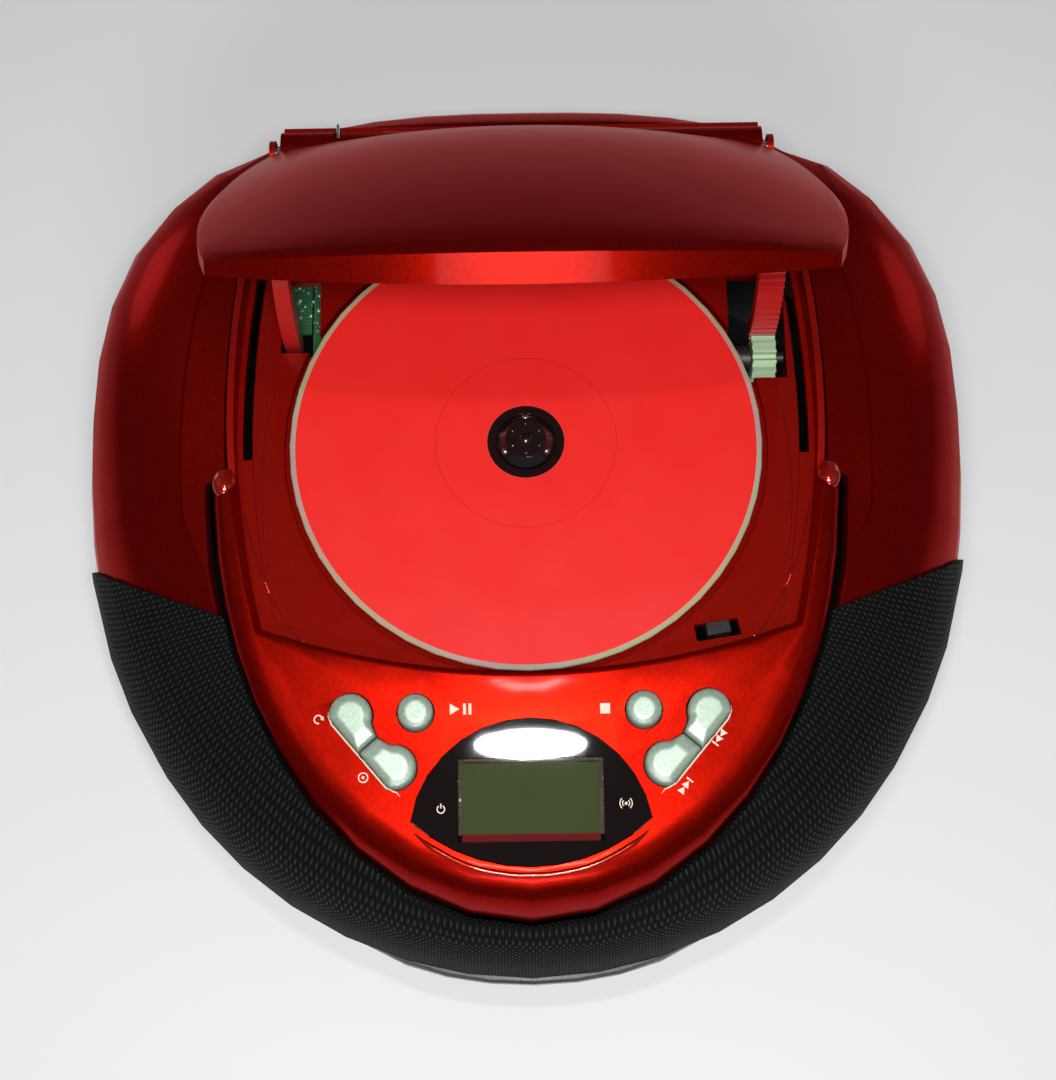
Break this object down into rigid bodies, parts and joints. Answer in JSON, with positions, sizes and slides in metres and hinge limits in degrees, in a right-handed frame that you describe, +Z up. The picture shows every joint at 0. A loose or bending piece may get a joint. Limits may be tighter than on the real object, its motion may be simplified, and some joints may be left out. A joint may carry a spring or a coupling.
{
  "type": "portable cd player",
  "caption": "Round portable CD player with a hinged lid standing open over its disc bay, front speakers, display panel, keys and aerial.",
  "frame": {"origin": "the middle of the floor under the whole object", "axes": "+Z up, -Y towards the front with the display and keys, +X to the user's right"},
  "size_m": [0.2363, 0.2416, 0.2134],
  "materials": {
    "arm_red": "moulded red",
    "black_case": "fine grain",
    "black_plastic": "moulded",
    "board_brown": "bare laminate",
    "board_green": "solder mask",
    "dark_steel": "dark",
    "disc_red": "printed face over mirror",
    "gear_green": "natural nylon",
    "grille_black": "satin black, perforated",
    "lamp_green": "clear tinted",
    "lamp_red": "clear tinted",
    "lcd_green": "olive display",
    "lens_blue": "coated",
    "mint_silver": "pearl silver",
    "paper_cone": "pulp",
    "red_inner": "satin red",
    "red_metallic": "metallic lacquer",
    "rubber": "matt",
    "smoke_lens": "smoked clear",
    "steel": "bright",
    "trim_grey": "satin grey",
    "wheel_silver": "silver lacquer"
  },
  "bodies": {
    "housing": {"ac_inlet": "black_plastic", "aerial_mount": "black_plastic", "battery_box": "black_plastic", "bottom_case": "black_case", "card_slot": "dark_steel", "cd_deck": "red_inner", "chin_trim": "trim_grey", "control_board": "board_brown", "damper_body": "black_plastic", "display_lens": "smoke_lens", "foot_front_left": "rubber", "foot_front_right": "rubber", "foot_rear_left": "rubber", "foot_rear_right": "rubber", "front_bezel": "red_metallic", "guide_rod_left": "steel", "guide_rod_right": "steel", "hinge_pin_left": "steel", "hinge_pin_right": "steel", "lcd_panel": "lcd_green", "main_board": "board_green", "mechanism_chassis": "dark_steel", "power_led": "lamp_red", "sled_motor": "steel", "speaker_cone_left": "paper_cone", "speaker_cone_right": "paper_cone", "speaker_frame_left": "dark_steel", "speaker_frame_right": "dark_steel", "speaker_grille": "grille_black", "speaker_magnet_left": "dark_steel", "speaker_magnet_right": "dark_steel", "spindle_motor": "steel", "stereo_led": "lamp_green", "top_case": "red_metallic", "transformer": "dark_steel", "usb_port": "steel"},
    "lid": {"lid_cover": "red_metallic", "lid_liner": "red_inner", "lid_arm_left": "arm_red", "lid_arm_right": "arm_red", "lid_spring": "steel"},
    "damper_wheel": {"damper_gear": "gear_green"},
    "turntable": {"disc": "disc_red", "disc_hub": "black_plastic"},
    "sled": {"laser_sled": "black_plastic", "laser_lens": "lens_blue"},
    "play_key": {"button_play": "mint_silver"},
    "stop_key": {"button_stop": "mint_silver"},
    "mode_key": {"button_mode": "mint_silver"},
    "source_key": {"button_source": "mint_silver"},
    "previous_key": {"button_previous": "mint_silver"},
    "next_key": {"button_next": "mint_silver"},
    "lid_tongue": {"lid_switch": "black_plastic"},
    "volume_wheel": {"volume_knob": "wheel_silver"},
    "tuning_wheel": {"tuning_knob": "wheel_silver"},
    "function_slider": {"function_switch": "wheel_silver"},
    "band_slider": {"band_switch": "wheel_silver"},
    "battery_cover": {"battery_door": "black_case"},
    "aerial_outer": {"aerial_tube": "steel"},
    "aerial_rod": {"aerial_inner": "steel"}
  },
  "joints": [
    {"name": "lid_swing", "type": "hinge", "parent": "housing", "child": "lid", "pos_m": [0, 0.09075, 0.101], "axis": [1, 0, 0], "range_deg": [0, 50.5], "stiffness_Nm_per_rad": 0.12, "springref_deg": -57.3},
    {"name": "damper_turn", "type": "hinge", "parent": "housing", "child": "damper_wheel", "pos_m": [0.0618, 0.0332, 0.093], "axis": [1, 0, 0], "range_deg": [-473.44, 0]},
    {"name": "disc_spin", "type": "hinge", "parent": "housing", "child": "turntable", "pos_m": [0, 0.00875, 0.098], "axis": [0, 0, 1], "continuous": true},
    {"name": "sled_travel", "type": "slide", "parent": "housing", "child": "sled", "axis": [0, -1, 0], "range_m": [0, 0.028]},
    {"name": "play_press", "type": "slide", "parent": "housing", "child": "play_key", "axis": [0, 0, -1], "range_m": [0, 0.0012], "stiffness_N_per_m": 400, "springref_m": -0.0006},
    {"name": "stop_press", "type": "slide", "parent": "housing", "child": "stop_key", "axis": [0, 0, -1], "range_m": [0, 0.0012], "stiffness_N_per_m": 400, "springref_m": -0.0006},
    {"name": "mode_press", "type": "slide", "parent": "housing", "child": "mode_key", "axis": [0, 0, -1], "range_m": [0, 0.0012], "stiffness_N_per_m": 400, "springref_m": -0.0006},
    {"name": "source_press", "type": "slide", "parent": "housing", "child": "source_key", "axis": [0, 0, -1], "range_m": [0, 0.0012], "stiffness_N_per_m": 400, "springref_m": -0.0006},
    {"name": "previous_press", "type": "slide", "parent": "housing", "child": "previous_key", "axis": [0, 0, -1], "range_m": [0, 0.0012], "stiffness_N_per_m": 400, "springref_m": -0.0006},
    {"name": "next_press", "type": "slide", "parent": "housing", "child": "next_key", "axis": [0, 0, -1], "range_m": [0, 0.0012], "stiffness_N_per_m": 400, "springref_m": -0.0006},
    {"name": "lid_tongue_press", "type": "slide", "parent": "housing", "child": "lid_tongue", "axis": [0, 0, -1], "range_m": [0, 0.002], "stiffness_N_per_m": 150, "springref_m": -0.001},
    {"name": "volume_turn", "type": "hinge", "parent": "housing", "child": "volume_wheel", "pos_m": [0.10631, 0.03645, 0.034], "axis": [0, 0, 1], "range_deg": [0, 280]},
    {"name": "tuning_turn", "type": "hinge", "parent": "housing", "child": "tuning_wheel", "pos_m": [0.09614, 0.06899, 0.034], "axis": [0, 0, 1], "range_deg": [-140, 140]},
    {"name": "function_slide", "type": "slide", "parent": "housing", "child": "function_slider", "axis": [0.1148, 0.9934, 0], "range_m": [-0.0035, 0.0035]},
    {"name": "band_slide", "type": "slide", "parent": "housing", "child": "band_slider", "axis": [0.4639, 0.8859, 0], "range_m": [-0.0035, 0.0035]},
    {"name": "battery_cover_swing", "type": "hinge", "parent": "housing", "child": "battery_cover", "pos_m": [0, 0.01885, 0.004], "axis": [-1, 0, 0], "range_deg": [0, 100]},
    {"name": "aerial_swing", "type": "hinge", "parent": "housing", "child": "aerial_outer", "pos_m": [-0.05, 0.11775, 0.039], "axis": [0, -1, 0], "range_deg": [0, 90]},
    {"name": "aerial_draw", "type": "slide", "parent": "aerial_outer", "child": "aerial_rod", "axis": [1, 0, 0], "range_m": [0, 0.075]}
  ],
  "couplings": [
    {"joint": "damper_turn", "follows": "lid_swing", "ratio": -9.375}
  ]
}
